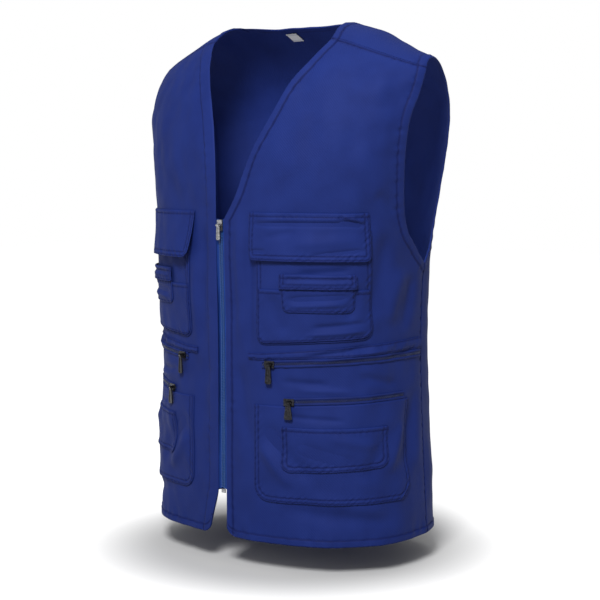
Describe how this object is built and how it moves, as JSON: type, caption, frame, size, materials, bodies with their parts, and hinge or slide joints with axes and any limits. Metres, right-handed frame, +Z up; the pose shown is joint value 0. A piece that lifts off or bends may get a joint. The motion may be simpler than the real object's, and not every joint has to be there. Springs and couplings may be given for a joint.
{
  "type": "utility work vest",
  "caption": "Sleeveless zip-front cotton work vest with flapped chest pockets, zipped waist and patch pockets and a short slit below the main zip.",
  "frame": {"origin": "midway between the shoulders where they carry the vest, 30 mm below the top of the shoulder line", "axes": "+Z up, +X the wearer's left, the front facing -Y"},
  "size_m": [0.4634, 0.3132, 0.6779],
  "materials": {
    "twill": "royal blue cotton twill",
    "zip_tape": "mid blue woven zip tape",
    "label": "white woven tape",
    "zip_metal": "black gunmetal plating"
  },
  "bodies": {
    "vest": {"back_panel": "twill", "back_hem_band": "twill", "back_neck_band": "twill", "left_front_panel": "twill", "left_front_band": "twill", "left_hem_band": "twill", "left_armhole_band": "twill", "left_chest_pocket": "twill", "left_chest_flap": "twill", "left_chest_outer_patch": "twill", "left_small_pocket": "twill", "left_small_flap": "twill", "left_waist_welt": "twill", "left_lower_pocket": "twill", "left_lower_small_pocket": "twill", "left_waist_zip": "zip_tape", "left_lower_zip": "zip_tape", "left_main_zip_tape": "zip_tape", "left_main_zip_teeth": "zip_tape", "left_waist_zip_slider": "zip_metal", "left_lower_zip_slider": "zip_metal", "right_front_panel": "twill", "right_front_band": "twill", "right_hem_band": "twill", "right_armhole_band": "twill", "right_chest_pocket": "twill", "right_chest_flap": "twill", "right_chest_outer_patch": "twill", "right_small_pocket": "twill", "right_small_flap": "twill", "right_waist_welt": "twill", "right_lower_pocket": "twill", "right_lower_small_pocket": "twill", "right_waist_zip": "zip_tape", "right_lower_zip": "zip_tape", "right_main_zip_tape": "zip_tape", "right_main_zip_teeth": "zip_tape", "right_waist_zip_slider": "zip_metal", "right_lower_zip_slider": "zip_metal", "main_zip_slider": "zip_metal", "main_zip_stop": "zip_metal", "neck_label": "label"},
    "left_waist_zip_pull": {"left_waist_zip_pull": "zip_metal"},
    "left_lower_zip_pull": {"left_lower_zip_pull": "zip_metal"},
    "right_waist_zip_pull": {"right_waist_zip_pull": "zip_metal"},
    "right_lower_zip_pull": {"right_lower_zip_pull": "zip_metal"},
    "main_zip_pull": {"main_zip_pull": "zip_metal"}
  },
  "joints": [
    {"name": "left_waist_zip_pull_swing", "type": "hinge", "parent": "vest", "child": "left_waist_zip_pull", "pos_m": [0.07822, -0.14469, -0.41619], "axis": [-0.9727, -0.2323, 0], "range_deg": [-3, 150]},
    {"name": "left_lower_zip_pull_swing", "type": "hinge", "parent": "vest", "child": "left_lower_zip_pull", "pos_m": [0.10497, -0.13686, -0.46353], "axis": [-0.9362, -0.3515, 0], "range_deg": [-3, 150]},
    {"name": "right_waist_zip_pull_swing", "type": "hinge", "parent": "vest", "child": "right_waist_zip_pull", "pos_m": [-0.07822, -0.14469, -0.41619], "axis": [-0.9727, 0.2323, 0], "range_deg": [-3, 150]},
    {"name": "right_lower_zip_pull_swing", "type": "hinge", "parent": "vest", "child": "right_lower_zip_pull", "pos_m": [-0.10497, -0.13686, -0.46353], "axis": [-0.9362, 0.3515, 0], "range_deg": [-3, 150]},
    {"name": "main_zip_pull_swing", "type": "hinge", "parent": "vest", "child": "main_zip_pull", "pos_m": [0, -0.1529, -0.24], "axis": [-1, 0, 0], "range_deg": [-3, 150]}
  ]
}
